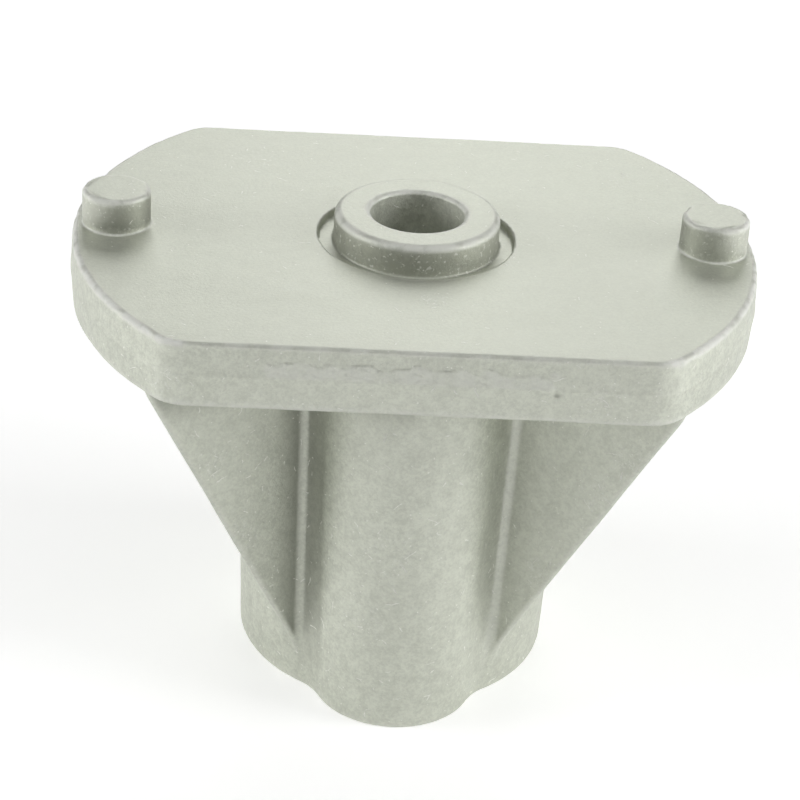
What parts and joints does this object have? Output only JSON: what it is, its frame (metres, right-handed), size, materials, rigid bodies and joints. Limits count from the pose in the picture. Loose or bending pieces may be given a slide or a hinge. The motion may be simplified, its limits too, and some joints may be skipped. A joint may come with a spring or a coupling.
{
  "type": "mower blade hub",
  "caption": "Cast aluminium mower blade hub: a ribbed tube for a keyed crankshaft under a flat flange with drive pins, a pilot collar and a hole for the blade bolt.",
  "frame": {"origin": "centre of the hub's lower end, which is also the bottom centre of the object's box", "axes": "+Z along the crankshaft's axis towards the blade seat, +X through the two drive pins, -Y towards the keyway"},
  "size_m": [0.0748, 0.055, 0.054],
  "materials": {
    "cast_aluminium": "as cast and tumbled, matte"
  },
  "bodies": {
    "root": {"blade_hub": "cast_aluminium"}
  },
  "joints": []
}
